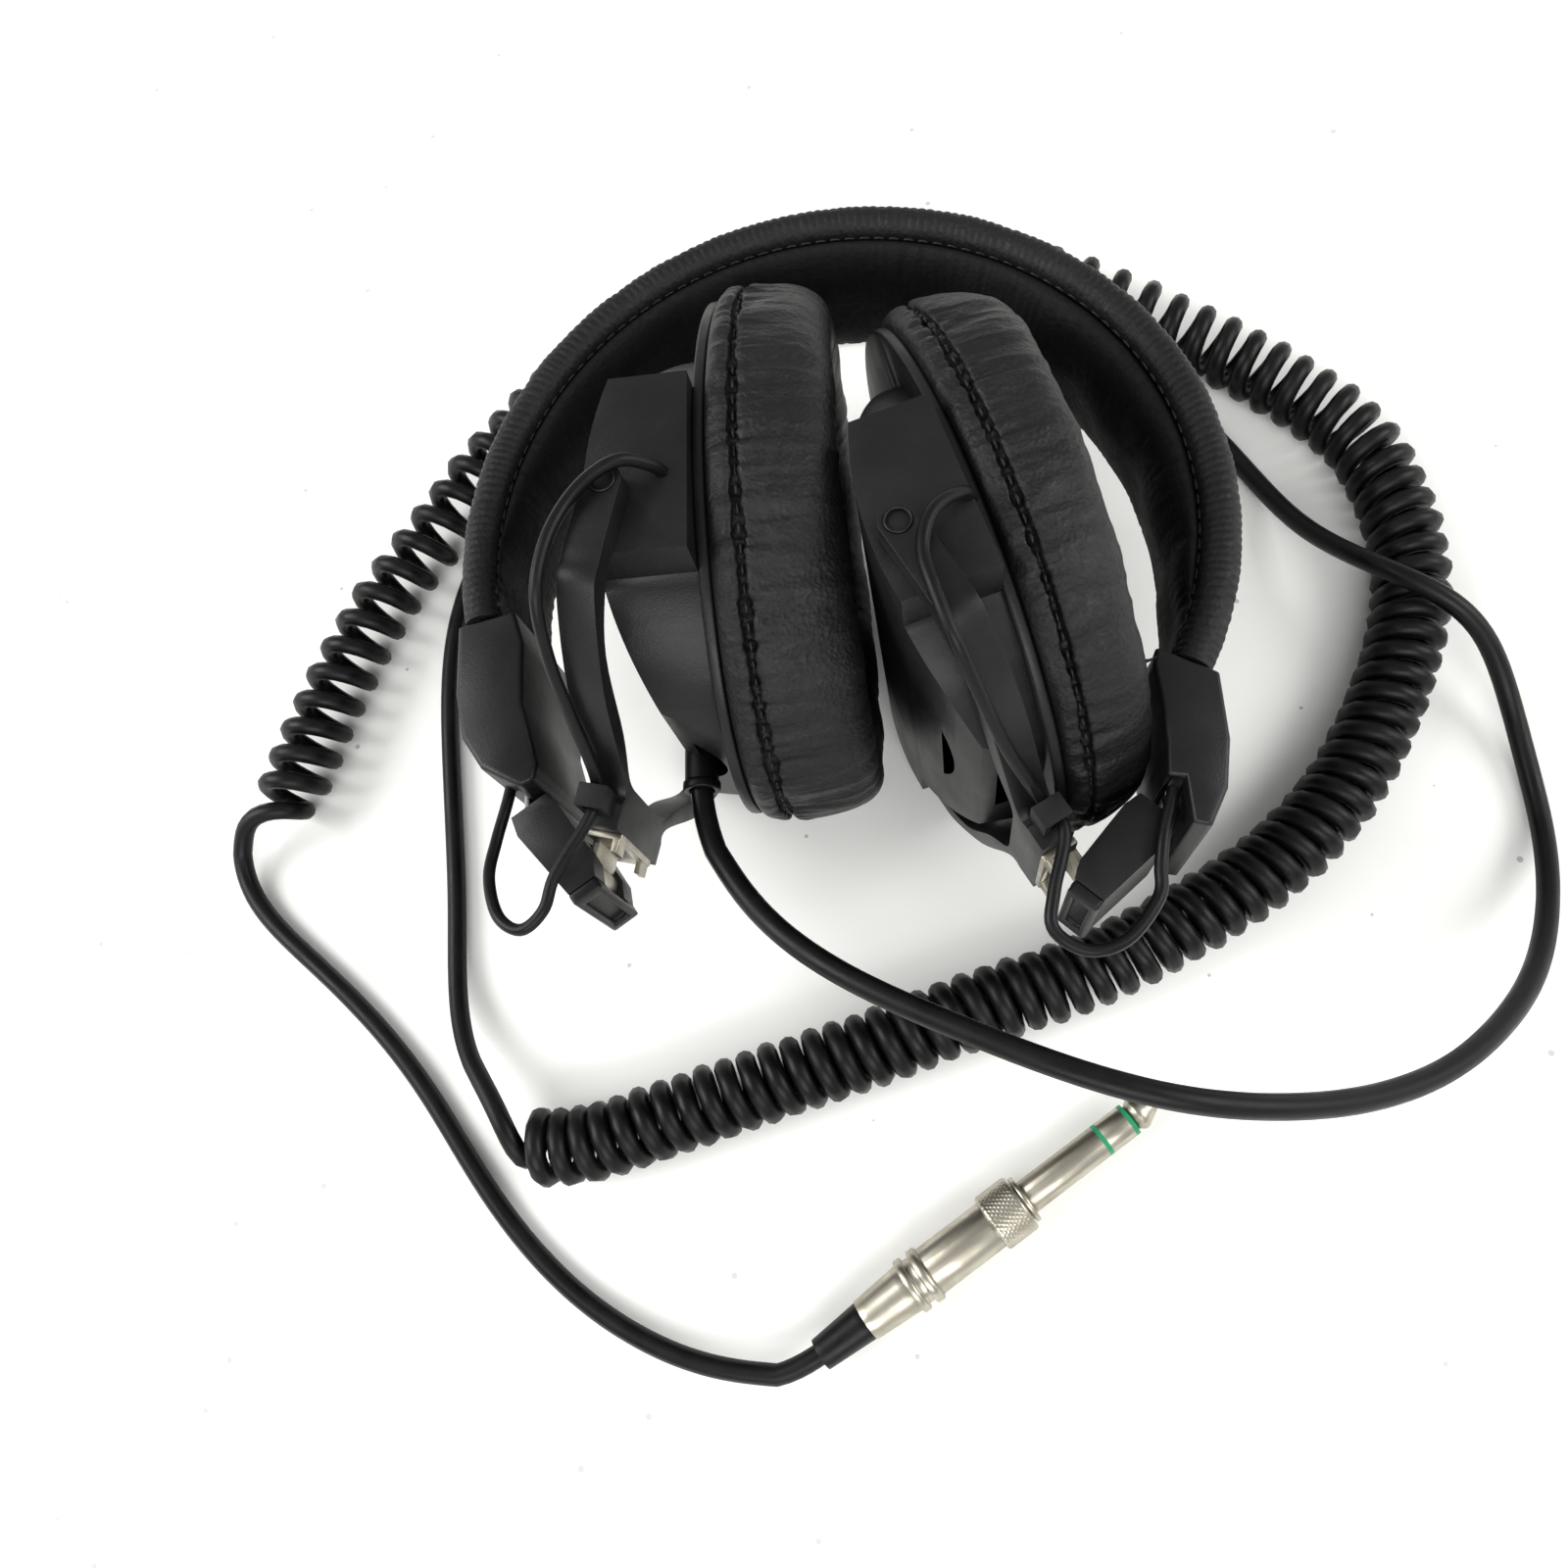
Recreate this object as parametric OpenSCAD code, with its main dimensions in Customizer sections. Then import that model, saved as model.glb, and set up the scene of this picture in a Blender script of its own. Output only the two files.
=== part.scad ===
// Folding studio headphones with a curly cord, folded and lying on their side.
// Millimetres. +Z is up, the table is z = 0, and the headband arches towards +Y.
// Every cup is drawn in its own frame: x towards its pad, y along the cup away
// from the fold hinge, z across the head, with the yoke's pivot on the z axis.

/* [Headband] */
// Outer radius of the headband's arch
band_radius = 68.2; // [62:0.1:74]
// Width of the headband across the head
band_width = 34; // [30:0.5:40]
// Thickness from the outer skin to the crest of the inner padding
band_depth = 11.4; // [9:0.1:14]
// Angle at which the arch ends on the left
band_end_left = 193; // [188:0.5:198]
// Angle at which the arch ends on the right
band_end_right = -28; // [-33:0.5:-20]
// Thickness of the spring strip and of the slider strips
strip_thickness = 0.9; // [0.6:0.1:1.4]
// Width of the spring strip and of the slider strips
strip_width = 16; // [12:0.5:20]

/* [Hinges] */
// Height of the plastic hinge blocks along the fold pin
block_height = 24; // [20:0.5:28]
// Length of a hinge block
block_length = 17.5; // [15:0.5:20]
// Radius of the fold pin
fold_pin_radius = 1.5; // [1.2:0.1:2]
// Sheet thickness of the metal hinge bracket
bracket_sheet = 1.2; // [0.8:0.1:1.6]
// Radial running clearance of every pin
running_gap = 0.05; // [0.03:0.01:0.08]

/* [Yokes and cups] */
// Distance from the yoke's foot to the cup pivot
yoke_length = 44; // [42:0.5:52]
// Thickness of the yoke's arms across the cup
yoke_thickness = 6; // [5:0.1:8]
// Overall height of a yoke, which is what the headphones lie on
yoke_height = 98; // [92:0.5:104]
// Radius of the cup pivot pins
pivot_radius = 2.2; // [1.6:0.1:3]
// Depth of the housing behind the pivot
housing_back = 5.3; // [4:0.1:7]
// Depth of the housing in front of the pivot
housing_front = 11; // [9:0.1:13]
// Half the length of the cup flange
flange_half = 48.5; // [46:0.5:50]

/* [Pads] */
// Half the length of the ear pads
pad_half_length = 49.8; // [48:0.5:53]
// Half the height of the ear pads
pad_half_height = 44; // [42:0.5:46]
// Thickness of the right ear pad
pad_thickness = 18.5; // [16:0.5:22]
// Half the length of the ear opening
ear_half_length = 31; // [26:0.5:34]

/* [Cord and plug] */
// Diameter of the main cord
cord_diameter = 4.1; // [3.6:0.1:4.6]
// Outer diameter of the curly part
coil_diameter = 15.6; // [13:0.1:17]
// Number of curls in the curly part
coil_curls = 64; // [40:1:70]
// Diameter of the thin signal wires
wire_diameter = 2.1; // [1.6:0.1:2.6]
// Radius of the jack's shaft, a 6.35 mm plug
jack_radius = 3.175; // [3.175:0.001:3.175]
// Length of the jack from its flange to the tip
jack_length = 30.5; // [30.5:0.1:30.5]
// Radius of the knurled nut on the plug
nut_radius = 5.5; // [5:0.1:6.5]

/* [Hidden] */
$fn = 64;

// The origin is the middle of the headphones' own box, on the table.
origin_x = 0;
origin_y = -4.5;
mid = yoke_height / 2;

// Layers of the headband, from the outside in
skin_thickness = 1.3;
spring_gap = 0.1;
roll_radius = 3.4;
roll_middle = band_radius - roll_radius;
roll_height = band_width / 2 - roll_radius;
skin_half = roll_height - roll_radius - 0.2;
spring_outer = band_radius - skin_thickness - spring_gap;
liner_outer = spring_outer - strip_thickness - spring_gap;
liner_inner = band_radius - band_depth;

// Sliders: both strips leave the end blocks almost straight down
slide_lean_left = 4;
slide_lean_right = 0;
slider_top_left = [-56.8, -24];
slider_top_right = [52.75, -30];
slider_length_left = 27.5;
slider_length_right = 26;

// Hinge blocks: middle of the top end, and the way they point
block_left = [-53.2, -48.4];
block_left_angle = -54.7;
block_right = [50.4, -53.1];
block_right_angle = 228.5;
pin_along = 13.5;
pin_across = 0.6;
knuckle_half = 5.8;
yoke_foot_along = 7;
yoke_foot_across = 3.4;
yoke_left_angle = 78.3;
yoke_right_angle = 120.1;
cup_left_angle = 1.5;
cup_right_angle = 18;

// Heights of the yoke's parts about the middle plane
arm_outer = yoke_height / 2;
arm_inner = arm_outer - 4.2;
plate_half = arm_inner - 0.25;
foot_half = 13;
flange_thickness = 2;
cup_shift = 9;
// The pivot lies below and behind the middle of the driver
pivot_drop = 2.5;
pivot_back = 1;
driver_radius = 20;
ear_half_height = ear_half_length * 0.76;
pad_seat = housing_front + flange_thickness;

module placed() {
  translate([-origin_x, -origin_y, 0]) children();
}

// --- Headband ---------------------------------------------------------------

module arch(from = band_end_right, to = band_end_left) {
  rotate([0, 0, from]) rotate_extrude(angle = to - from) children();
}

module band_skin() {
  color([0.05, 0.05, 0.05]) placed() translate([0, 0, mid]) arch()
    translate([band_radius - skin_thickness, -skin_half])
      square([skin_thickness, 2 * skin_half]);
}

module band_spring() {
  color([0.7, 0.7, 0.72]) placed() translate([0, 0, mid])
    arch(band_end_right + 1, band_end_left - 1)
      translate([spring_outer - strip_thickness, -strip_width / 2])
        square([strip_thickness, strip_width]);
}

module band_liner() {
  crest = liner_inner;
  side = roll_height - roll_radius;
  edge = roll_middle - roll_radius - 0.4;
  color([0.03, 0.03, 0.03]) placed() translate([0, 0, mid]) arch() polygon([
    [liner_outer, -side + 0.2], [liner_outer, side - 0.2], [edge, side - 0.2],
    [edge, roll_height + 1.4], [crest + 2, roll_height - 0.4],
    [crest + 0.5, side - 2], [crest, side - 6], [crest, -side + 6],
    [crest + 0.5, -side + 2], [crest + 2, -roll_height + 0.4],
    [edge, -roll_height - 1.4], [edge, -side + 0.2]]);
}

module band_rolls() {
  color([0.06, 0.06, 0.06]) placed() for (s = [-1, 1])
    translate([0, 0, mid + s * roll_height]) arch() difference() {
      translate([roll_middle, 0]) circle(roll_radius);
      translate([roll_middle - roll_radius * 0.8, s * roll_radius * 0.85])
        circle(0.9);
    }
}

// --- End blocks, sliders and hinge blocks -------------------------------------

function along(point, angle, u, v) =
  [point[0] + u * cos(angle) - v * sin(angle), point[1] + u * sin(angle) + v * cos(angle)];

module block_slot(top, lean) {
  translate([top[0], top[1], mid]) rotate([0, 0, lean - 90])
    translate([-2, -strip_thickness / 2 - running_gap, -strip_width / 2 - 0.15])
      cube([40, strip_thickness + 2 * running_gap, strip_width + 0.3]);
}

module end_block(outline, hollow, top, lean) {
  placed() difference() {
    translate([0, 0, mid - band_width / 2]) linear_extrude(band_width)
      polygon(outline);
    translate([0, 0, mid - band_width / 2 + 2.2]) linear_extrude(band_width - 4.4)
      polygon(hollow);
    block_slot(top, lean);
  }
}

end_outline_left = [[-66.9, -16.4], [-56.6, -13.9], [-54.6, -20], [-54, -31], [-50.4, -42.6],
  [-50.9, -45.4], [-53.6, -46.6], [-60.5, -43], [-64.4, -37.4], [-66.2, -29]];
end_hollow_left = [[-65.2, -18.4], [-60, -17], [-60, -41], [-63.2, -36.8], [-64.6, -29]];
end_outline_right = [[61, -32.9], [51.6, -27.9], [51, -31], [51.5, -36], [51.8, -44], [51.4, -49.6],
  [54, -50], [54.4, -57.4], [57.2, -58], [60.2, -52], [61.4, -44]];
end_hollow_right = [[59.4, -35.4], [54.7, -33.4], [54.7, -51], [57.2, -54], [58.8, -51], [59.8, -44]];

module end_block_left() {
  color([0.12, 0.12, 0.13]) end_block(end_outline_left, end_hollow_left, slider_top_left, slide_lean_left);
}

module end_block_right() {
  color([0.12, 0.12, 0.13])
    end_block(end_outline_right, end_hollow_right, slider_top_right, slide_lean_right);
}

// A screwed tunnel cover for the wire, a thin shell in the block's hollow
module end_cover(hollow_middle, length) {
  placed() translate([hollow_middle[0], hollow_middle[1], mid]) rotate([90, 0, 0])
    translate([0, 0, -length / 2]) difference() {
      cylinder(r = 1.9, h = length);
      translate([0, 0, -1]) cylinder(r = wire_diameter / 2 + 0.15, h = length + 2);
    }
}

module end_cover_left() {
  color([0.15, 0.15, 0.15]) end_cover([-62, -25.5], 11);
}

module end_cover_right() {
  color([0.15, 0.15, 0.15]) end_cover([57, -43], 13);
}

module strip(top, lean, length) {
  translate([top[0], top[1], mid]) rotate([0, 0, lean - 90])
    translate([0, -strip_thickness / 2, -strip_width / 2])
      cube([length, strip_thickness, strip_width]);
}

module slider(top, lean, length) {
  placed() difference() {
    strip(top, lean, length);
    translate([top[0], top[1], mid]) rotate([0, 0, lean - 90]) for (i = [0 : 4])
      translate([3 + i * 2.4, 0, 0]) rotate([90, 0, 0]) cylinder(r = 0.7, h = 4, center = true);
  }
}

module slider_left() {
  color([0.75, 0.75, 0.76]) slider(slider_top_left, slide_lean_left, slider_length_left);
}

module slider_right() {
  color([0.75, 0.75, 0.76]) slider(slider_top_right, slide_lean_right, slider_length_right);
}

// side = 1 puts the yoke on the block's left, -1 on its right
module in_block(place, angle, side) {
  placed() translate([place[0], place[1], mid]) rotate([0, 0, angle]) mirror([0, side < 0 ? 1 : 0, 0])
    children();
}

module hinge_block(place, angle, side, top, lean, length) {
  difference() {
    in_block(place, angle, side) difference() {
      translate([0, 0, -block_height / 2]) linear_extrude(block_height)
        polygon([[0, -3.8], [0, 3.4], [3, 4.2], [block_length - 3, 4],
          [block_length, 2.6], [block_length, -2.8], [3.5, -4.6]]);
      translate([pin_along - 4.2, -2.3, -knuckle_half - 0.2])
        cube([block_length, 10, 2 * knuckle_half + 0.4]);
      translate([pin_along, pin_across, 0])
        cylinder(r = fold_pin_radius, h = block_height - 3, center = true);
    }
    placed() strip(top, lean, length);
  }
}

module hinge_block_left() {
  color([0.13, 0.13, 0.14])
    hinge_block(block_left, block_left_angle, 1, slider_top_left, slide_lean_left, slider_length_left);
}

module hinge_block_right() {
  color([0.13, 0.13, 0.14])
    hinge_block(block_right, block_right_angle, -1, slider_top_right, slide_lean_right, slider_length_right);
}

module hinge_cap(place, angle, side) {
  in_block(place, angle, side) difference() {
    translate([block_length, -3, -block_height / 2]) cube([2.2, 5.6, block_height]);
    translate([block_length + 1, -1.6, -block_height / 2 + 3]) cube([2, 2.8, block_height - 6]);
    translate([block_length - 1, -2.3, -knuckle_half - 0.2]) cube([1.8, 6, 2 * knuckle_half + 0.4]);
  }
}

module hinge_cap_left() {
  color([0.1, 0.1, 0.1]) hinge_cap(block_left, block_left_angle, 1);
}

module hinge_cap_right() {
  color([0.1, 0.1, 0.1]) hinge_cap(block_right, block_right_angle, -1);
}

fold_left = along(block_left, block_left_angle, pin_along, pin_across);
fold_right = along(block_right, block_right_angle, pin_along, -pin_across);

module fold_pin(at) {
  placed() translate([at[0], at[1], mid])
    cylinder(r = fold_pin_radius, h = block_height - 3, center = true);
}

module fold_pin_left() {
  color([0.7, 0.7, 0.7]) fold_pin(fold_left);
}

module fold_pin_right() {
  color([0.7, 0.7, 0.7]) fold_pin(fold_right);
}

// --- Yokes ------------------------------------------------------------------
// The yoke's frame has its origin at the fold pin, u towards the pivot, v towards the pad side.

module in_yoke(at, angle, side) {
  placed() translate([at[0], at[1], mid]) rotate([0, 0, angle]) mirror([0, side > 0 ? 1 : 0, 0])
    children();
}

module bracket(at, angle, side) {
  plate_half_height = 9.5;
  in_yoke(at, angle, side) difference() {
    union() {
      cylinder(r = fold_pin_radius + bracket_sheet, h = 2 * knuckle_half, center = true);
      translate([0, 0.2, -knuckle_half])
        cube([yoke_foot_along - bracket_sheet, bracket_sheet, 2 * knuckle_half]);
      translate([yoke_foot_along - bracket_sheet, 0.2, -plate_half_height])
        cube([bracket_sheet, 6.2, 2 * plate_half_height]);
      for (s = [-1, 1]) translate([yoke_foot_along - 3.4, 4.9, s * (plate_half_height - 2) - 2])
        cube([3, bracket_sheet, 4]);
    }
    cylinder(r = fold_pin_radius + running_gap, h = 40, center = true);
  }
}

module bracket_left() {
  color([0.8, 0.78, 0.72]) bracket(fold_left, yoke_left_angle, 1);
}

module bracket_right() {
  color([0.8, 0.78, 0.72]) bracket(fold_right, yoke_right_angle, -1);
}

// Half of the yoke's C in (u, w), from the foot to the tip of one arm and back
yoke_outside = [[4, foot_half + 0.3], [7.5, foot_half + 1.5], [16, arm_outer - 15],
  [26, arm_outer - 1.9], [31, arm_outer - 0.3], [36, arm_outer], [38, arm_outer]];
yoke_inside = [[38, arm_inner], [34, arm_inner], [29, arm_inner - 1], [21, arm_inner - 8],
  [14, foot_half + 8], [9, foot_half], [8, foot_half - 4]];
function bent(points, top) = [for (q = curve(points, 5)) [q[0], min(q[1], top)]];
yoke_half = concat([[0, foot_half]], bent(yoke_outside, arm_outer),
  [[yoke_length + yoke_thickness / 2, arm_outer], [yoke_length + yoke_thickness / 2, arm_inner]],
  bent(yoke_inside, arm_inner));
yoke_outline = concat(yoke_half,
  [for (i = [len(yoke_half) - 1 : -1 : 0]) [yoke_half[i][0], -yoke_half[i][1]]]);

module yoke(at, angle, side) {
  tip = yoke_foot_along + yoke_length;
  in_yoke(at, angle, side) difference() {
    intersection() {
      translate([yoke_foot_along, yoke_foot_across + yoke_thickness / 2, 0]) rotate([90, 0, 0])
        linear_extrude(yoke_thickness) polygon(yoke_outline);
      translate([0, 0, -arm_outer - 1]) linear_extrude(yoke_height + 2) union() {
        translate([tip, yoke_foot_across]) circle(yoke_thickness / 2);
        translate([0, yoke_foot_across - yoke_thickness / 2]) square([tip, yoke_thickness]);
      }
    }
    translate([tip, yoke_foot_across, 0])
      cylinder(r = pivot_radius + running_gap, h = yoke_height + 10, center = true);
  }
}

module yoke_left() {
  color([0.1, 0.1, 0.1]) yoke(fold_left, yoke_left_angle, 1);
}

module yoke_right() {
  color([0.1, 0.1, 0.1]) yoke(fold_right, yoke_right_angle, -1);
}

module clip(at, angle, side) {
  in_yoke(at, angle, side) difference() {
    translate([yoke_foot_along + 1.5, yoke_foot_across - 3.2, foot_half]) cube([4, 5, 6]);
    translate([yoke_foot_along, yoke_foot_across - 0.8, foot_half + 3.8]) rotate([0, 90, 0])
      cylinder(r = wire_diameter / 2 + 0.55, h = 12);
    translate([yoke_foot_along, yoke_foot_across + yoke_thickness / 2, 0]) rotate([90, 0, 0])
      linear_extrude(yoke_thickness) polygon(yoke_outline);
  }
}

module clip_left() {
  color([0.08, 0.08, 0.08]) clip(fold_left, yoke_left_angle, 1);
}

module clip_right() {
  color([0.08, 0.08, 0.08]) clip(fold_right, yoke_right_angle, -1);
}

// --- Cups -------------------------------------------------------------------
// mirror_side = 1 flips the cup, so that its cord end lies at the hinge

function pivot_of(at, angle, side) =
  along(at, angle, yoke_foot_along + yoke_length, -side * yoke_foot_across);
pivot_left = pivot_of(fold_left, yoke_left_angle, 1);
pivot_right = pivot_of(fold_right, yoke_right_angle, -1);

module in_cup_left() {
  placed() translate([pivot_left[0], pivot_left[1], mid]) rotate([0, 0, cup_left_angle])
    translate([pivot_back, pivot_drop, 0]) children();
}

module in_cup_right() {
  placed() translate([pivot_right[0], pivot_right[1], mid]) rotate([0, 0, cup_right_angle])
    translate([pivot_back, pivot_drop, 0]) children();
}

module flat_oval(half_length, half_height) {
  polygon([for (i = [0 : 71]) let (a = i * 5)
    [half_length * cos(a), half_height * sin(a)]]);
}

// Turns a flat (y, z) outline into a plate from x = from to x = to
module plate(from, to) {
  translate([from, 0, 0]) rotate([90, 0, 90]) linear_extrude(to - from) children();
}

module housing_outline(back, front) {
  dome = 60;
  intersection() {
    translate([dome - back, -2]) circle(dome, $fn = 128);
    polygon([[-8, -25], [1, -29.5], [front, -33], [front, 40], [2, 31], [-8, 24]]);
  }
}

module housing(relief) {
  difference() {
    intersection() {
      translate([0, 0, -plate_half]) linear_extrude(2 * plate_half)
        housing_outline(housing_back, housing_front);
      plate(-10, 20) union() {
        translate([4, 0]) circle(40);
        translate([-12.5, -plate_half - 5]) square([31, 2 * plate_half + 10]);
      }
    }
    plate(-2.2, 40) circle(driver_radius + 4);
    plate(4, 40) circle(driver_radius + 12);
    for (side = [-1, 1]) translate([-pivot_back, -pivot_drop, side * plate_half])
      cylinder(r = pivot_radius, h = 6, center = true);
    if (relief) translate([3.6, -20, 0]) rotate([90, 0, 0]) cylinder(r = 3.1, h = 30);
  }
}

module housing_left() {
  color([0.12, 0.12, 0.12]) in_cup_left() housing(true);
}

module housing_right() {
  color([0.12, 0.12, 0.12]) in_cup_right() housing(false);
}

module pivot_pins() {
  for (s = [-1, 1]) translate([-pivot_back, -pivot_drop, s * (plate_half - 3)]) mirror([0, 0, s < 0 ? 1 : 0])
    cylinder(r = pivot_radius, h = 3 + arm_outer - plate_half - 0.4);
}

module pivot_pins_left() {
  color([0.2, 0.2, 0.2]) in_cup_left() pivot_pins();
}

module pivot_pins_right() {
  color([0.2, 0.2, 0.2]) in_cup_right() pivot_pins();
}

screw_spots = [for (a = [45, 135, 225, 315]) [27 * cos(a), 27 * sin(a)]];

module baffle() {
  difference() {
    plate(housing_front, pad_seat) translate([cup_shift, 0])
      flat_oval(flange_half, pad_half_height - 2.5);
    plate(0, 40) circle(driver_radius - 2);
    for (p = screw_spots) plate(0, 40) translate(p) circle(1.2);
  }
  difference() {
    plate(housing_front - 3, housing_front) circle(driver_radius + 3);
    plate(0, 40) circle(driver_radius + 0.5);
  }
}

module baffle_left() {
  color([0.14, 0.14, 0.14]) in_cup_left() baffle();
}

module baffle_right() {
  color([0.14, 0.14, 0.14]) in_cup_right() baffle();
}

module driver() {
  difference() {
    plate(housing_front - 4, housing_front) circle(driver_radius);
    plate(housing_front - 1.2, 40) circle(driver_radius - 2.4);
    plate(0, housing_front - 2.4) circle(driver_radius - 6);
  }
}

module driver_left() {
  color([0.25, 0.25, 0.25]) in_cup_left() driver();
}

module driver_right() {
  color([0.25, 0.25, 0.25]) in_cup_right() driver();
}

module magnet() {
  plate(-1.6, housing_front - 4) circle(driver_radius - 6.5);
}

module magnet_left() {
  color([0.5, 0.5, 0.52]) in_cup_left() magnet();
}

module magnet_right() {
  color([0.5, 0.5, 0.52]) in_cup_right() magnet();
}

module baffle_screws() {
  for (p = screw_spots) plate(housing_front - 1, pad_seat) translate(p) circle(1.2);
}

module baffle_screws_left() {
  color([0.6, 0.6, 0.6]) in_cup_left() baffle_screws();
}

module baffle_screws_right() {
  color([0.6, 0.6, 0.6]) in_cup_right() baffle_screws();
}

// An ear pad is one ring: its section goes once round a soft rectangle with the
// seam drawn in, and the section goes round the oval.
// [share of the way out from the ear opening, share of the thickness]
pad_section = [[0, 0.3], [0.02, 0.12], [0.16, 0], [0.84, 0], [0.97, 0.05], [1, 0.14],
  [0.985, 0.2], [0.93, 0.235], [0.985, 0.27], [0.995, 0.45], [0.97, 0.68], [0.86, 0.9],
  [0.62, 1], [0.38, 0.97], [0.14, 0.84], [0.03, 0.6]];

function pad_point(i, s, turns, thick, slope) = let (
    a = 360 * i / turns, out = pad_section[s][0],
    y = (ear_half_length + out * (pad_half_length - ear_half_length)) * cos(a),
    z = (ear_half_height + out * (pad_half_height - ear_half_height)) * sin(a),
    swell = 1 + 0.008 * sin(a * 9) * pad_section[s][1])
  [pad_seat + 0.05 + pad_section[s][1] * (thick - slope * y) * swell, cup_shift + y, z];

module pad(thick, slope) {
  turns = 40;
  ring = len(pad_section);
  polyhedron(
    points = [for (i = [0 : turns - 1]) for (s = [0 : ring - 1]) pad_point(i, s, turns, thick, slope)],
    faces = [for (i = [0 : turns - 1]) for (s = [0 : ring - 1]) for (half = [0, 1]) let (
        a = i * ring + s, b = i * ring + (s + 1) % ring,
        c = ((i + 1) % turns) * ring + (s + 1) % ring, d = ((i + 1) % turns) * ring + s)
      half == 0 ? [a, b, c] : [a, c, d]]);
}

// The right pad is pressed flatter, and more so at its lower end
module pad_left() {
  color([0.08, 0.08, 0.08]) in_cup_left() pad(pad_thickness + 2.3, 0.044);
}

module pad_right() {
  color([0.08, 0.08, 0.08]) in_cup_right() pad(pad_thickness, -0.055);
}

// --- Tubes ------------------------------------------------------------------

function unit(v) = v / norm(v);

// A Catmull-Rom curve through the points, a fixed number of steps a stretch
function curve_point(p, i, t) = let (
    n = len(p) - 1, a = p[max(i - 1, 0)], b = p[i], c = p[min(i + 1, n)], d = p[min(i + 2, n)])
  0.5 * (2 * b + (c - a) * t + (2 * a - 5 * b + 4 * c - d) * t * t + (3 * b - a - 3 * c + d) * t * t * t);
function curve(p, steps) = concat(
  [for (i = [0 : len(p) - 2]) for (k = [0 : steps - 1]) curve_point(p, i, k / steps)], [p[len(p) - 1]]);
function direction(p, i) = unit(p[min(i + 1, len(p) - 1)] - p[max(i - 1, 0)]);

// A tube along a path, with a level reference so that its rings don't twist
module tube(path, radius, sides) {
  n = len(path);
  points = [for (i = [0 : n - 1]) let (
      t = direction(path, i),
      side = abs(t[2]) > 0.96 ? [1, 0, 0] : [0, 0, 1],
      u = unit(cross(t, side)), v = cross(t, u))
    for (k = [0 : sides - 1]) let (a = 360 * k / sides) path[i] + radius * (cos(a) * u + sin(a) * v)];
  walls = [for (i = [0 : n - 2]) for (k = [0 : sides - 1]) for (half = [0, 1]) let (
      a = i * sides + k, b = i * sides + (k + 1) % sides,
      c = (i + 1) * sides + (k + 1) % sides, d = (i + 1) * sides + k)
    half == 0 ? [a, b, c] : [a, c, d]];
  first = [for (k = [1 : sides - 2]) [0, k + 1, k]];
  last = [for (k = [1 : sides - 2]) [(n - 1) * sides, (n - 1) * sides + k, (n - 1) * sides + k + 1]];
  polyhedron(points = points, faces = concat(walls, first, last));
}

clip_z = mid + foot_half + 3.8;

// Over the yoke: along it, across it and up from the middle, starting at the clip
wire_left_arm = [[0, 2.6, 16.8], [5.5, 2.6, 16.8], [9, 2, 22.8], [13, 0.5, 31], [18, -1, 40.4],
  [24, -2.2, 48.2], [31, -2.6, 50.4], [38, -1, 50.4], [43.5, 2.2, 50.4], [47, 6, 50.2], [48.6, 9.6, 47]];
wire_right_arm = [[0, 2.6, 16.8], [5.5, 2.6, 16.8], [9, 4, 22.8], [13, 5.5, 31], [18, 6.4, 40.4],
  [24, 6.6, 48.2], [31, 5.4, 50.4], [37, 3.6, 50.4], [41, 0.2, 50.4], [43, -3.8, 49.2], [43.8, -7.8, 46.6]];
function over_arm(at, angle, side, route) = [for (p = route) let (
    q = along(at, angle, yoke_foot_along + p[0], -side * p[1]), clip_height = foot_half + 3.8)
  [q[0], q[1], mid + clip_height + (p[2] - 16.8) * (arm_outer - clip_height) / 32.2]];

// From the end block's mouth, round the hinge and up to the clip
wire_left_loop = [[-58.4, -47, mid + 9], [-59.4, -54, mid + 10], [-59.4, -61, mid + 12],
  [-56.5, -68, mid + 14], [-52, -70.6, mid + 15], [-48, -67.6, mid + 16], [-46.2, -62, mid + 16.6]];
wire_right_loop = [[52.8, -50.8, mid + 13.6], [51.8, -54, mid + 13.6], [50.4, -58.6, mid + 13.6],
  [49.6, -63.4, mid + 13.4], [48.9, -68, mid + 13.4],
  [43.7, -74.4, mid + 14], [37.6, -76.2, mid + 15], [32.6, -73, mid + 16], [33, -67.4, mid + 16.6]];

module wire_left() {
  color([0.1, 0.1, 0.1]) placed() tube(curve(concat(wire_left_loop,
    over_arm(fold_left, yoke_left_angle, 1, wire_left_arm)), 3), wire_diameter / 2, 6);
}

module wire_right() {
  color([0.1, 0.1, 0.1]) placed() tube(curve(concat(wire_right_loop,
    over_arm(fold_right, yoke_right_angle, -1, wire_right_arm)), 3), wire_diameter / 2, 6);
}

relief_length = 6.8;

module strain_relief() {
  color([0.07, 0.07, 0.07]) in_cup_left() translate([3.6, -29.5, 0]) rotate([90, 0, 0]) difference() {
    union() {
      translate([0, 0, -7]) cylinder(r = 3.05, h = 7 + relief_length);
      translate([0, 0, relief_length - 1.6]) cylinder(r = 3.4, h = 1.6);
    }
    translate([0, 0, -8]) cylinder(r = cord_diameter / 2 + 0.25, h = 30);
  }
}

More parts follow.
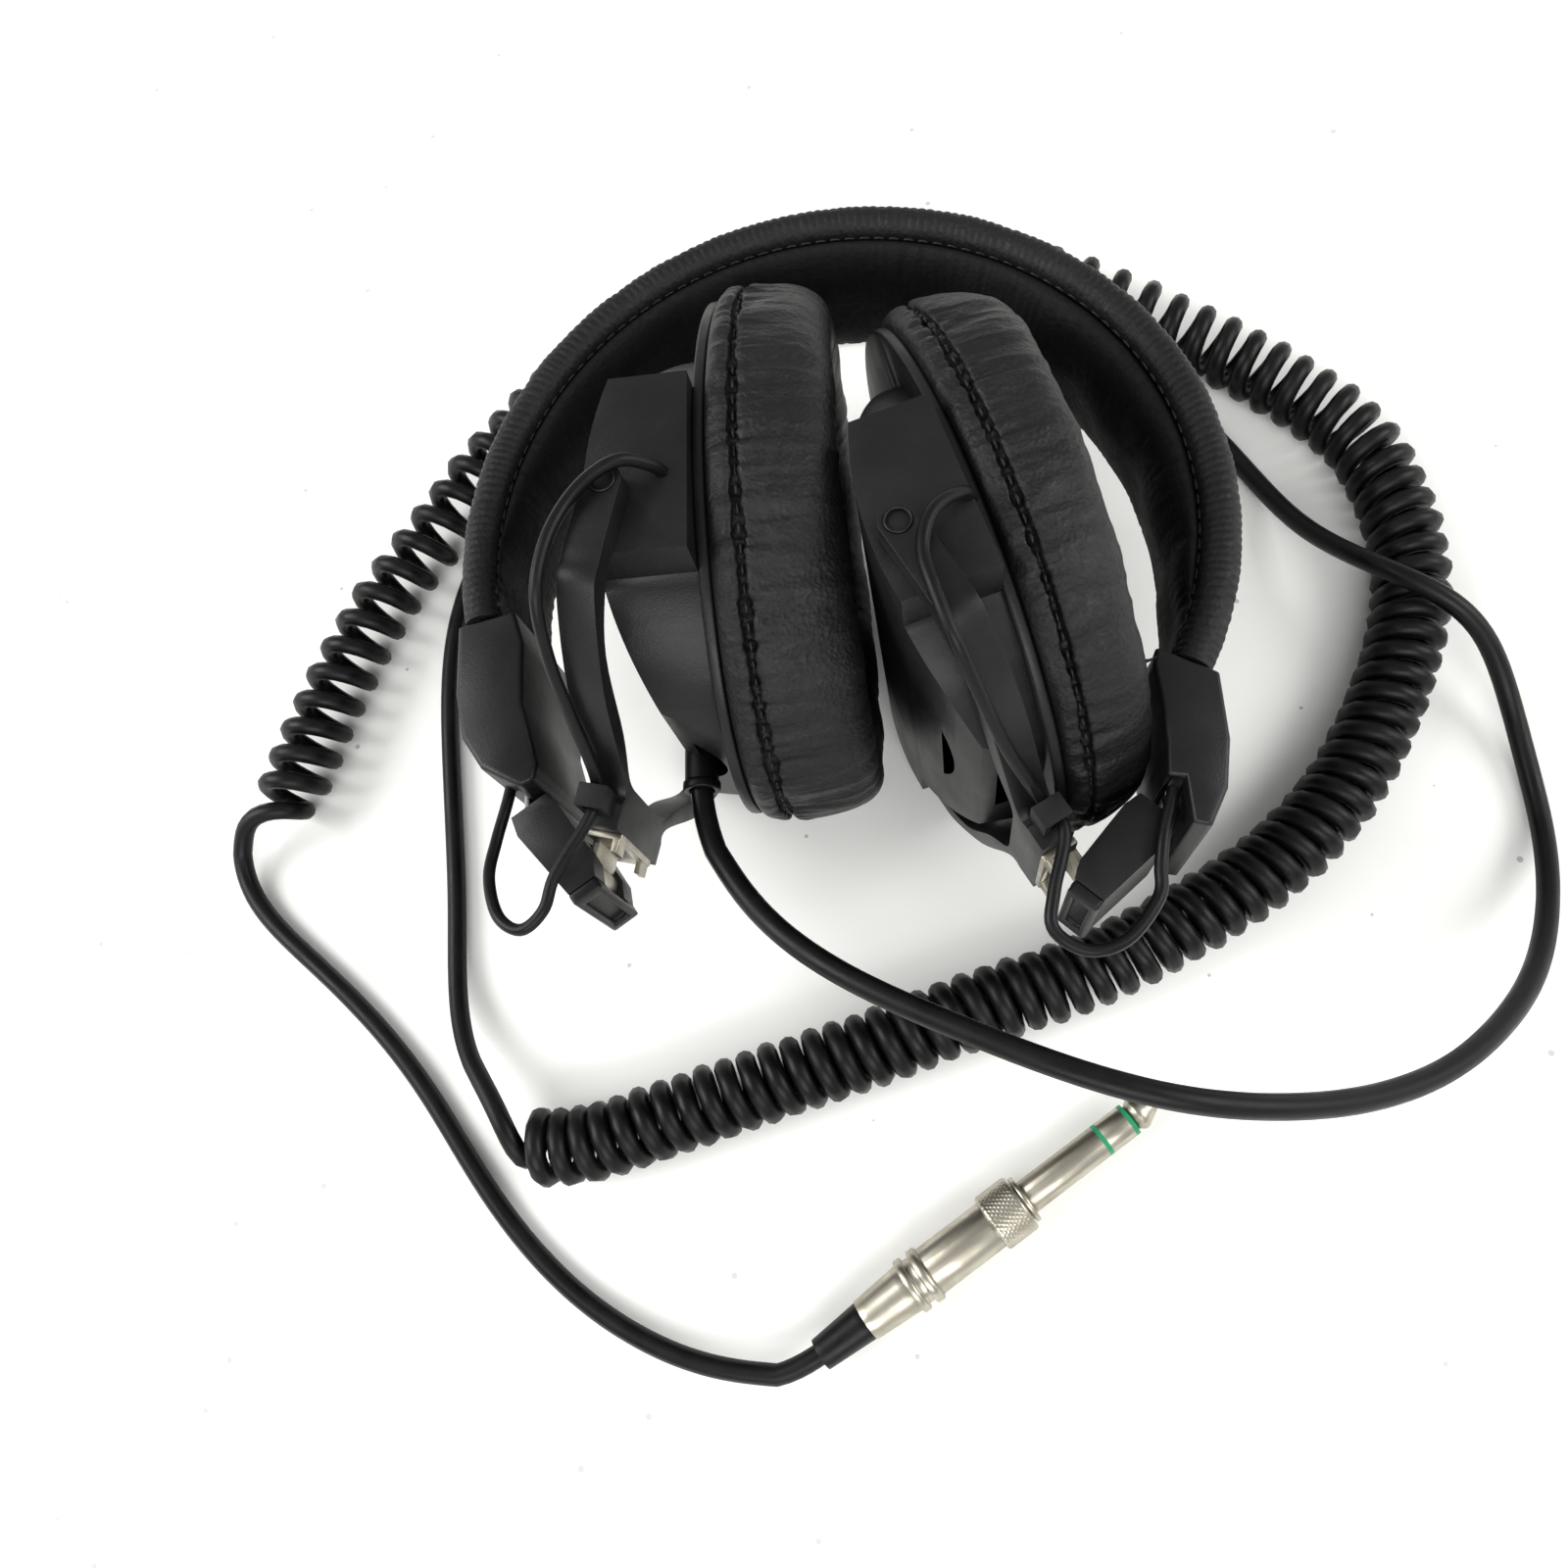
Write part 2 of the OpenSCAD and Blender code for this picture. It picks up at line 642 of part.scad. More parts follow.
// The straight cord from the cup, up in a loop, once round the headband and back to the coil
lead_z = cord_diameter / 2 + 0.2;
lead_route = [[-26, -33, mid], [-25.9, -38.5, mid], [-25.7, -44.5, mid], [-24, -52, mid],
  [-20.6, -59.4, mid + 1], [-14.4, -67.4, mid + 3], [-5.7, -74.7, mid + 6],
  [4.2, -80.6, mid + 8], [15.1, -85.6, mid + 10],
  [32, -93, mid + 13], [50.6, -98.3, mid + 12], [71.9, -98.5, mid + 1], [86.5, -95.9, mid - 8],
  [100.2, -90.4, mid - 16], [118.4, -76.5, mid - 30], [129, -60, 8], [133.4, -44, lead_z],
  [132.5, -28.4, lead_z], [129, -14, 8], [120.6, -3, 18.6], [106, 6, 19.6], [96, 22, 8],
  [89, 38, lead_z], [78, 56, lead_z], [58, 74, lead_z], [30, 86, lead_z], [0, 90, lead_z],
  [-34, 86, lead_z], [-66, 70, lead_z], [-88, 44, lead_z], [-96.8, 20.9, lead_z],
  [-97.6, 0, lead_z], [-94.1, -28.7, lead_z], [-91.1, -50.8, lead_z], [-89.2, -72, 3],
  [-86.1, -86, 5.6], [-82, -95, 7.6], [-76.4, -101, 8.4]];

module cord_lead() {
  color([0.06, 0.06, 0.06]) placed() tube(curve(lead_route, 2), cord_diameter / 2, 8);
}

// The coil's middle line lies on the table and passes outside the headband
coil_radius = (coil_diameter - cord_diameter) / 2;
coil_z = coil_diameter / 2 + 0.3;
coil_route = [[-70, -103.5], [-56.5, -103], [-36.7, -97], [-17, -90.7], [2.5, -84.6], [22, -77.6],
  [41.2, -71.6], [60.6, -62.6], [80.6, -50.3], [96, -34.8], [107.7, -14.4], [114.1, 4],
  [115, 22], [109.4, 43], [94, 60.4], [74.2, 76], [50, 92], [24, 101], [-4, 104], [-34, 100],
  [-62, 85], [-87.4, 59], [-100.8, 39.2], [-113.7, 19.2], [-124, -5.3], [-131.8, -31]];
curl_steps = 8;
coil_line = curve([for (p = coil_route) [p[0], p[1], coil_z]], 8);
coil_count = coil_curls * curl_steps;

// Length of the line up to each of its points, and the point at a share of it
line_length = [for (i = 0, d = 0; i < len(coil_line);
  d = d + norm(coil_line[min(i + 1, len(coil_line) - 1)] - coil_line[i]), i = i + 1) d];
coil_length = line_length[len(line_length) - 1];
function stretch_of(d, low, high) = high - low <= 1 ? low : let (half = floor((low + high) / 2))
  line_length[half] > d ? stretch_of(d, low, half) : stretch_of(d, half, high);
function line_at(f) = let (d = f * coil_length, i = stretch_of(d, 0, len(coil_line) - 1))
  coil_line[i] + (d - line_length[i]) / (line_length[i + 1] - line_length[i])
    * (coil_line[i + 1] - coil_line[i]);
function line_way(f) = unit(line_at(min(f + 0.004, 1)) - line_at(max(f - 0.004, 0)));
function curl_at(k) = let (
    f = k / coil_count, c = line_at(f), t = line_way(f), side = [-t[1], t[0], 0],
    a = -90 + 360 * k / curl_steps)
  c + coil_radius * (cos(a) * side + sin(a) * [0, 0, 1]);
coil_path = [for (k = [0 : coil_count]) curl_at(k)];

// Least gap between neighbouring curls, measured surface to surface on the rings
coil_gap = min([for (i = [0 : coil_count - 5]) for (j = [i + 5 : min(i + 12, coil_count)])
  norm(coil_path[i] - coil_path[j])]) - cord_diameter;
echo(coil_gap = coil_gap, coil_length = coil_length);

module cord_coil() {
  color([0.05, 0.05, 0.05]) placed() tube(concat(
    [coil_path[0] + [-cord_diameter - 2, 0, 0.6]], coil_path,
    [coil_path[coil_count] + [-cord_diameter, -cord_diameter, 0]]), cord_diameter / 2, 6);
}

// --- Plug -------------------------------------------------------------------

plug_start = [-10.4, -140.6];
plug_angle = 35.2;
plug_z = nut_radius + 0.1;
sleeve_length = 10.4;
body_length = 10;
ring_span = 5;
barrel_length = 14.4;
nut_length = 7;
flange_length = 1.2;

module in_plug() {
  placed() translate([plug_start[0], plug_start[1], plug_z]) rotate([0, 0, plug_angle])
    rotate([0, 90, 0]) children();
}

tail_route = [[-136.6, -36, 3], [-141.6, -42.6, lead_z], [-139, -52, lead_z], [-129, -60, lead_z],
  [-119.4, -66.7, lead_z], [-102.3, -82.5, lead_z], [-92.1, -93.6, lead_z], [-83.6, -105.6, lead_z],
  [-72.4, -120, lead_z], [-64.9, -126.5, lead_z], [-53, -135.4, 3], [-36.9, -142.4, 4],
  [-22.5, -144.6, plug_z - 0.6], [-15, -143, plug_z], [-6.4, -137.9, plug_z]];

module cord_tail() {
  color([0.06, 0.06, 0.06]) placed() tube(curve(tail_route, 1), cord_diameter / 2, 8);
}

module plug_sleeve() {
  color([0.07, 0.07, 0.07]) in_plug() difference() {
    cylinder(r1 = 3, r2 = 3.7, h = sleeve_length);
    translate([0, 0, -1]) cylinder(r = cord_diameter / 2 + 0.25, h = 9);
  }
}

body_end = sleeve_length + body_length;
barrel_start = body_end + ring_span;
nut_start = barrel_start + barrel_length;
flange_start = nut_start + nut_length;
jack_start = flange_start + flange_length;

module plug_body() {
  color([0.7, 0.68, 0.62]) in_plug() {
    translate([0, 0, sleeve_length]) cylinder(r1 = 3.9, r2 = 4.6, h = body_length);
    translate([0, 0, barrel_start]) cylinder(r = 4.6, h = barrel_length);
  }
}

module plug_rings() {
  color([0.66, 0.64, 0.58]) in_plug() translate([0, 0, body_end]) rotate_extrude() polygon([
    [0, 0], [4.9, 0], [4.9, 2], [3.6, 2.3], [3.6, 2.9], [4.9, 3.2], [4.9, ring_span], [0, ring_span]]);
}

module plug_nut() {
  color([0.66, 0.64, 0.58]) in_plug() {
    translate([0, 0, nut_start]) cylinder(r = nut_radius, h = nut_length);
    translate([0, 0, flange_start]) cylinder(r = nut_radius - 0.8, h = flange_length);
  }
}

insulator_spots = [17.6, 23.8];
insulator_width = 0.9;

module jack_shaft() {
  tip_start = insulator_spots[1] + insulator_width;
  color([0.8, 0.79, 0.76]) in_plug() translate([0, 0, jack_start]) {
    cylinder(r = jack_radius, h = insulator_spots[0]);
    translate([0, 0, insulator_spots[0] + insulator_width])
      cylinder(r = jack_radius, h = insulator_spots[1] - insulator_spots[0] - insulator_width);
    translate([0, 0, tip_start]) rotate_extrude() polygon([[0, 0], [2.2, 0], [jack_radius, 1.4],
      [jack_radius, 2.2], [1.5, jack_length - tip_start - 0.3], [1, jack_length - tip_start],
      [0, jack_length - tip_start]]);
  }
}

module jack_insulators() {
  color([0.1, 0.45, 0.3]) in_plug() translate([0, 0, jack_start]) for (s = insulator_spots)
    translate([0, 0, s]) cylinder(r = jack_radius, h = insulator_width);
}

band_skin();
band_spring();
band_liner();
band_rolls();
end_block_left();
end_block_right();
end_cover_left();
end_cover_right();
slider_left();
slider_right();
hinge_block_left();
hinge_block_right();
hinge_cap_left();
hinge_cap_right();
fold_pin_left();
fold_pin_right();
bracket_left();
bracket_right();
yoke_left();
yoke_right();
clip_left();
clip_right();
housing_left();
housing_right();
pivot_pins_left();
pivot_pins_right();
baffle_left();
baffle_right();
driver_left();
driver_right();
magnet_left();
magnet_right();
baffle_screws_left();
baffle_screws_right();
pad_left();
pad_right();
wire_left();
wire_right();
strain_relief();
cord_lead();
cord_coil();
cord_tail();
plug_sleeve();
plug_body();
plug_rings();
plug_nut();
jack_shaft();
jack_insulators();
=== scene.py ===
import bpy
import math
from mathutils import Matrix, Vector, noise


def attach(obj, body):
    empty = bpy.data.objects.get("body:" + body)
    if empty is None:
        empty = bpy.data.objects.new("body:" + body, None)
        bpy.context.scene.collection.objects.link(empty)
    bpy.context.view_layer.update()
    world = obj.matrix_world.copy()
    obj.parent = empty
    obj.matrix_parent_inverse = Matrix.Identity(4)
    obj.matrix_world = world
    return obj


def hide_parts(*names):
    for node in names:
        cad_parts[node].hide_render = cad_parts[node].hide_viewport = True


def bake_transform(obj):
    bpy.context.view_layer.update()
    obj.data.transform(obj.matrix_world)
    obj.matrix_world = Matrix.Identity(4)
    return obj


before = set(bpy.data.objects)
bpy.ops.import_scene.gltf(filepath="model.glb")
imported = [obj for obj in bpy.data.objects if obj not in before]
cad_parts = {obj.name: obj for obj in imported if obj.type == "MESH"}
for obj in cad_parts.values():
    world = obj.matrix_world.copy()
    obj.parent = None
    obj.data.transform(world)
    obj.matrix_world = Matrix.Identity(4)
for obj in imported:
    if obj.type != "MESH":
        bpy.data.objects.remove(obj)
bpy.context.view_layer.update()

# --- Camera ---------------------------------------------------------------------
# The photograph looks down from 245 mm above the table, leaning towards the crown
# of the headband and a little to the left, with the frame upright.
lens = bpy.data.cameras.new("camera")
lens.lens = 27.0
lens.sensor_width = 36.0
lens.sensor_fit = "HORIZONTAL"
lens.clip_start = 0.01
camera = bpy.data.objects.new("camera", lens)
bpy.context.scene.collection.objects.link(camera)
look = Vector((-0.1392, 0.3060, -0.9418)).normalized()
across = Vector((0.9893, 0.0, -0.1462)).normalized()
camera_up = across.cross(look)
camera.matrix_world = Matrix((
    (across.x, camera_up.x, -look.x, 0.018),
    (across.y, camera_up.y, -look.y, -0.102),
    (across.z, camera_up.z, -look.z, 0.245),
    (0, 0, 0, 1)))
bpy.context.scene.camera = camera


# --- Free cord ------------------------------------------------------------------
# One rubber lead of 4.1 mm: straight from the left cup and once round the
# headband, then wound into a spring of curls, then straight again to the plug.
def colour(code):
    parts = [int(code[i:i + 2], 16) / 255 for i in (1, 3, 5)]
    return tuple(p / 12.92 if p <= 0.04045 else ((p + 0.055) / 1.055) ** 2.4 for p in parts) + (1.0,)


def node(material, kind, values=None, links=None, **settings):
    made = material.node_tree.nodes.new(kind)
    for name, value in settings.items():
        setattr(made, name, value)
    for socket, value in (values or {}).items():
        made.inputs[socket].default_value = value
    for socket, source in (links or {}).items():
        material.node_tree.links.new(source, made.inputs[socket])
    return made


def surface(name, **values):
    made = bpy.data.materials.new(name)
    made.use_nodes = True
    shader = made.node_tree.nodes["Principled BSDF"]
    for socket, value in values.items():
        shader.inputs[socket.replace("_", " ")].default_value = value
    return made, shader


def ramp(material, source, low, high, first, second):
    made = node(material, "ShaderNodeValToRGB", links={"Fac": source})
    made.color_ramp.elements[0].position = low
    made.color_ramp.elements[0].color = first
    made.color_ramp.elements[1].position = high
    made.color_ramp.elements[1].color = second
    return made.outputs["Color"]


def grey(value):
    return (value, value, value, 1.0)


def in_metres(material):
    return node(material, "ShaderNodeTexCoord").outputs["Object"]


def bump(material, shader, height, depth, below=None):
    links = {"Height": height}
    if below is not None:
        links["Normal"] = below
    made = node(material, "ShaderNodeBump", {"Strength": 1.0, "Distance": depth}, links)
    material.node_tree.links.new(made.outputs["Normal"], shader.inputs["Normal"])
    return made.outputs["Normal"]


cord_rubber, shader = surface("cord_rubber", IOR=1.5, Specular_IOR_Level=0.2)
place = in_metres(cord_rubber)
scuff = node(cord_rubber, "ShaderNodeTexNoise", {"Scale": 180.0, "Detail": 4.0, "Roughness": 0.6},
             {"Vector": place})
fine = node(cord_rubber, "ShaderNodeTexNoise", {"Scale": 2600.0, "Detail": 2.0}, {"Vector": place})
cord_rubber.node_tree.links.new(
    ramp(cord_rubber, scuff.outputs["Fac"], 0.3, 0.75, colour("#060607"), colour("#0d0d0e")),
    shader.inputs["Base Color"])
cord_rubber.node_tree.links.new(
    ramp(cord_rubber, scuff.outputs["Fac"], 0.3, 0.7, grey(0.34), grey(0.5)), shader.inputs["Roughness"])
bump(cord_rubber, shader, fine.outputs["Fac"], 0.00002)


def curve_point(p, i, t):
    a, b = p[max(i - 1, 0)], p[i]
    c, d = p[min(i + 1, len(p) - 1)], p[min(i + 2, len(p) - 1)]
    return 0.5 * (2 * b + (c - a) * t + (2 * a - 5 * b + 4 * c - d) * t * t
                  + (3 * b - a - 3 * c + d) * t * t * t)


def curve_through(points, steps):
    p = [Vector(q) for q in points]
    return [curve_point(p, i, k / steps) for i in range(len(p) - 1) for k in range(steps)] + [p[-1]]


def length_of(points):
    return sum((b - a).length for a, b in zip(points, points[1:]))


def evenly(points, step):
    total = length_of(points)
    count = max(2, round(total / step))
    out, i, run = [], 0, 0.0
    for k in range(count + 1):
        want = total * k / count
        while i < len(points) - 2 and run + (points[i + 1] - points[i]).length < want:
            run += (points[i + 1] - points[i]).length
            i += 1
        piece = (points[i + 1] - points[i]).length
        out.append(points[i].lerp(points[i + 1], min(1.0, (want - run) / piece) if piece else 0.0))
    return out


# The routes count from the band's middle, which lies this many millimetres up the table
band_up = 4.5


def in_row(points):
    return [Vector((p[0], p[1] + band_up, p[2])) * 0.001 for p in points]


def cord_curve(name, points, diameter, material):
    data = bpy.data.curves.new(name, "CURVE")
    data.dimensions = "3D"
    data.resolution_u = 1
    data.bevel_depth = diameter / 2
    data.bevel_resolution = 3
    data.use_fill_caps = True
    spline = data.splines.new("POLY")
    spline.points.add(len(points) - 1)
    for slot, p in zip(spline.points, points):
        slot.co = (p.x, p.y, p.z, 1.0)
    spline.use_smooth = True
    data.materials.append(material)
    made = bpy.data.objects.new(name, data)
    bpy.context.scene.collection.objects.link(made)
    return made


cord_thick = 4.1
middle = 49.0
flat = cord_thick / 2 + 0.2
lead_route = [(-26, -33, 49), (-25.9, -38.5, 49), (-25.7, -44.5, 49), (-24, -52, 49),
              (-20.6, -59.4, 50), (-14.4, -67.4, 52), (-5.7, -74.7, 55), (4.2, -80.6, 57),
              (15.1, -85.6, 59), (32, -93, 62), (50.6, -98.3, 61), (71.9, -98.5, 50), (86.5, -95.9, 41),
              (100.2, -90.4, 33), (118.4, -76.5, 19), (129, -60, 8), (133.4, -44, flat),
              (132.5, -28.4, flat), (129, -14, 8), (120.6, -3, 18.6), (106, 6, 19.6), (96, 22, 8),
              (89, 38, flat), (78, 56, flat), (58, 74, flat), (30, 86, flat), (0, 90, flat),
              (-34, 86, flat), (-66, 70, flat), (-88, 44, flat), (-96.8, 20.9, flat), (-97.6, 0, flat),
              (-94.1, -28.7, flat), (-91.1, -50.8, flat), (-89.2, -70, 3), (-85.6, -82, 6.4),
              (-79.6, -91, 10.6), (-73.4, -97, 13.2)]
curl_route = [(-70, -103.5), (-56.5, -103), (-36.7, -97), (-17, -90.7), (2.5, -84.6), (22, -77.6),
              (41.2, -71.6), (60.6, -62.6), (80.6, -50.3), (96, -34.8), (107.7, -14.4), (114.1, 4),
              (115, 22), (109.4, 43), (94, 60.4), (74.2, 76), (50, 92), (24, 101), (-4, 104),
              (-34, 100), (-62, 85), (-87.4, 59), (-100.8, 39.2), (-113.7, 19.2), (-124, -5.3),
              (-131.8, -31)]
tail_route = [(-137.4, -30.6, 12.6), (-142.4, -34, 8), (-144, -41, 3.6), (-141, -49, flat),
              (-131.4, -58, flat), (-118.6, -68, flat), (-104.4, -80.6, flat), (-92.6, -93.8, flat),
              (-82.8, -107.4, flat), (-73.4, -118.8, flat), (-64.4, -127.4, flat), (-53, -135.4, 3),
              (-36.9, -142.4, 4), (-22.5, -144.6, 5), (-15, -143, 5.6), (-6.4, -137.9, 5.6)]
curl_out = 15.6
curl_radius = (curl_out - cord_thick) / 2
curl_line = evenly(curve_through([(x, y, curl_out / 2 + 0.3) for x, y in curl_route], 8), 1.0)
# Pitch of the curls in millimetres: shut at the cup's end, pulled open further on
pitch_along = [(0.0, 4.5), (0.3, 4.7), (0.4, 5.0), (0.5, 6.0), (0.58, 8.6), (0.64, 7.2), (0.8, 7.0),
               (0.88, 7.8), (1.0, 6.4)]


def pitch_at(share):
    for (a, pa), (b, pb) in zip(pitch_along, pitch_along[1:]):
        if share <= b:
            return pa + (pb - pa) * (share - a) / (b - a)
    return pitch_along[-1][1]


def wound(stretch):
    curls, turn, last = [], 0.0, -1.0
    points_a_turn = 18
    for k, p in enumerate(fine_line):
        if turn - last >= 1 / points_a_turn or k == len(fine_line) - 1:
            way = (fine_line[min(k + 6, len(fine_line) - 1)] - fine_line[max(k - 6, 0)]).normalized()
            side = Vector((-way.y, way.x, 0))
            angle = math.radians(90) + 2 * math.pi * turn
            size = curl_radius * (1 + 0.012 * math.sin(turn * 2.3))
            curls.append(p + size * (math.cos(angle) * side + math.sin(angle) * Vector((0, 0, 1))))
            last = turn
        turn += fine_step / (pitch_at(k / (len(fine_line) - 1)) * stretch)
    return curls, turn


def eased(points, first, last, rounds):
    for _ in range(rounds):
        points[first:last] = [(points[i - 1] + points[i] * 2 + points[i + 1]) / 4 for i in range(first, last)]


# The curls begin and end on top of the coil, where the straight cord runs into them
fine_step = 0.2
fine_line = evenly(curl_line, fine_step)
turns = wound(1.0)[1]
curls, turns = wound(turns / round(turns))
lead = evenly(curve_through(lead_route, 8), 2.0)
tail = evenly(curve_through(tail_route, 8), 2.0)
eased(lead, 12, len(lead) - 1, 30)
eased(tail, 1, len(tail) - 8, 30)
whole = lead + curls + tail
for join in (len(lead), len(lead) + len(curls)):
    eased(whole, join - 7, join + 7, 10)
for p in whole:
    p.z = max(p.z, cord_thick / 2 + 0.1)
whole = in_row(whole)
cord = cord_curve("cord", whole, cord_thick * 0.001, cord_rubber)
print("cord length", round(length_of(whole), 3), "curls", round(turns, 1))
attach(cord, "cup_left")
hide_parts("cord_lead", "cord_coil", "cord_tail")


# --- Signal wires -----------------------------------------------------------------
# A thin satin wire leaves each end of the headband, loops round the fold hinge,
# passes the clip on the yoke's foot and goes over the pivot into the cup.
def over_arm(foot, angle, side, route):
    a = math.radians(angle)
    u = Vector((math.cos(a), math.sin(a), 0))
    v = Vector((math.sin(a), -math.cos(a), 0)) * side
    return [foot + u * (7 + p[0]) + v * p[1] + Vector((0, 0, middle + p[2])) for p in route]


fold_left = Vector((-44.909, -59.071, 0))
fold_right = Vector((41.005, -62.813, 0))
wire_thick = 2.1
wire_left_points = [Vector(p) for p in [
    (-57.6, -38, 57), (-58.2, -46, 58), (-59.4, -54, 59), (-59.4, -61, 61), (-56.5, -68, 63),
    (-52, -70.6, 64), (-48, -67.6, 65), (-46.2, -62, 65.6)]] + over_arm(fold_left, 78.3, 1, [
        (0, 2.6, 16.8), (5.5, 2.6, 16.8), (9, 2, 22.8), (13, 0.5, 31), (18, -1, 40.4), (24, -1.8, 48.2),
        (31, -1.8, 50.4), (38, -0.6, 50.4), (43.5, 2.2, 50.4), (47, 6, 50),
        (48.6, 9.6, 46.6), (49, 11, 43.4)])
wire_right_points = [Vector(p) for p in [
    (52.8, -50.8, 62.6), (51.8, -54, 62.6), (50.4, -58.6, 62.6), (49.6, -63.4, 62.4), (48.9, -68, 62.4),
    (43.7, -74.4, 63), (37.6, -76.2, 64), (32.6, -73, 65), (33, -67.4, 65.6)]] + over_arm(
        fold_right, 120.1, -1, [
        (0, 2.6, 16.8), (5.5, 2.6, 16.8), (9, 4, 22.8), (13, 5.5, 31), (18, 6.4, 40.4), (24, 6.6, 48.2),
        (31, 5.4, 50.4), (37, 3.6, 50.4), (41, 0.2, 50.4), (43, -3.8, 49),
        (43.8, -7.6, 46), (44, -8.8, 43.2)])
for side, points in (("left", wire_left_points), ("right", wire_right_points)):
    line = in_row(evenly(curve_through(points, 10), 0.8))
    drawn = cord_curve("wire_line_" + side, line, wire_thick * 0.001, cord_rubber)
    wire = bpy.data.objects.new("signal_wire_" + side, bpy.data.meshes.new_from_object(drawn))
    bpy.context.scene.collection.objects.link(wire)
    bpy.data.objects.remove(drawn)
    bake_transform(wire)
    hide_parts("wire_" + side)


# --- Table and light ----------------------------------------------------------------
# A white sheet under broad soft light, bright enough to burn out away from the
# headphones, with a few specks of dust on it.
sheet_white, shader = surface("white_sheet", Roughness=0.9, IOR=1.4)
place = in_metres(sheet_white)
cloud = node(sheet_white, "ShaderNodeTexNoise", {"Scale": 9.0, "Detail": 3.0}, {"Vector": place})
speck = node(sheet_white, "ShaderNodeTexVoronoi", {"Scale": 70.0, "Randomness": 1.0}, {"Vector": place})
dots = node(sheet_white, "ShaderNodeMath", {1: 0.045}, {0: speck.outputs["Distance"]}, operation="LESS_THAN")
tone = node(sheet_white, "ShaderNodeMix", {6: colour("#f0f0ec"), 7: colour("#f6f6f3")},
            {0: cloud.outputs["Fac"]}, data_type="RGBA")
dusty = node(sheet_white, "ShaderNodeMix", {7: colour("#bdbdb8")},
             {0: dots.outputs[0], 6: tone.outputs[2]}, data_type="RGBA")
sheet_white.node_tree.links.new(dusty.outputs[2], shader.inputs["Base Color"])
bpy.ops.mesh.primitive_plane_add(size=6.0, location=(0, 0, -0.0002))
table = bpy.context.object
table.name = "table"
table.data.materials.append(sheet_white)


def soft_box(name, where, towards, width, height, power):
    data = bpy.data.lights.new(name, "AREA")
    data.shape = "RECTANGLE"
    data.size, data.size_y, data.energy = width, height, power
    made = bpy.data.objects.new(name, data)
    made.location = where
    made.rotation_euler = (Vector(towards) - Vector(where)).to_track_quat("-Z", "Y").to_euler()
    bpy.context.scene.collection.objects.link(made)


soft_box("left_window", (-1.25, 0.0, 1.0), (0, 0, 0), 1.0, 1.0, 24)
soft_box("front_window", (0.1, -1.3, 1.1), (0, 0, 0), 1.3, 0.8, 18)
soft_box("right_window", (1.25, 0.1, 0.9), (0, 0, 0), 0.9, 0.9, 14)
world = bpy.data.worlds.new("studio")
world.use_nodes = True
world.node_tree.nodes["Background"].inputs["Color"].default_value = colour("#ffffff")
world.node_tree.nodes["Background"].inputs["Strength"].default_value = 0.5
bpy.context.scene.world = world
bpy.context.scene.view_settings.view_transform = "Standard"


# --- Moulded plastic pieces -----------------------------------------------------------
# End blocks, hinge blocks, yokes, housings and baffles are injection moulded in
# black plastic with a fine satin texture and softened edges.
def plastic(name, base, worn, rough, grain):
    made, shader = surface(name, IOR=1.5, Specular_IOR_Level=0.3)
    place = in_metres(made)
    patches = node(made, "ShaderNodeTexNoise", {"Scale": 60.0, "Detail": 5.0, "Roughness": 0.65},
                   {"Vector": place})
    texture = node(made, "ShaderNodeTexNoise", {"Scale": 3200.0, "Detail": 2.0}, {"Vector": place})
    scratch = node(made, "ShaderNodeTexNoise", {"Scale": 900.0, "Detail": 1.0, "Distortion": 1.5},
                   {"Vector": place})
    made.node_tree.links.new(ramp(made, patches.outputs["Fac"], 0.35, 0.75, colour(base), colour(worn)),
                             shader.inputs["Base Color"])
    made.node_tree.links.new(ramp(made, patches.outputs["Fac"], 0.3, 0.7, grey(rough), grey(rough + 0.14)),
                             shader.inputs["Roughness"])
    first = bump(made, shader, texture.outputs["Fac"], grain)
    bump(made, shader, scratch.outputs["Fac"], grain * 0.6, first)
    return made


satin_plastic = plastic("satin_black_plastic", "#0b0b0c", "#141415", 0.36, 0.00003)
matte_plastic = plastic("matte_black_plastic", "#070708", "#0f0f10", 0.5, 0.00004)


# The solids come in with split edges, so they are joined before their edges are rounded
def dress(name, material, edge=0.0):
    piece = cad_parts[name]
    piece.data.materials.clear()
    piece.data.materials.append(material)
    for face in piece.data.polygons:
        face.use_smooth = True
        face.material_index = 0
    if edge:
        joined = piece.modifiers.new("joined", "WELD")
        joined.merge_threshold = 0.00001
        rounding = piece.modifiers.new("rounding", "BEVEL")
        rounding.width = edge * 0.001
        rounding.segments = 3
        rounding.limit_method = "ANGLE"
        rounding.angle_limit = math.radians(28)
        rounding.harden_normals = True
    return piece


for name in ("end_block_left", "end_block_right"):
    dress(name, satin_plastic, 2.0)
for name in ("hinge_block_left", "hinge_block_right", "hinge_cap_left", "hinge_cap_right"):
    dress(name, satin_plastic, 0.8)
for name in ("yoke_left", "yoke_right"):
    dress(name, satin_plastic, 0.9)
for name in ("clip_left", "clip_right", "end_cover_left", "end_cover_right"):
    dress(name, matte_plastic, 0.25)
for name in ("housing_left", "housing_right", "baffle_left", "baffle_right"):
    dress(name, satin_plastic, 0.5)
for name in ("pivot_pins_left", "pivot_pins_right", "driver_left", "driver_right"):
    dress(name, matte_plastic, 0.25)
dress("strain_relief", cord_rubber, 0.3)
dress("plug_sleeve", cord_rubber, 0.3)


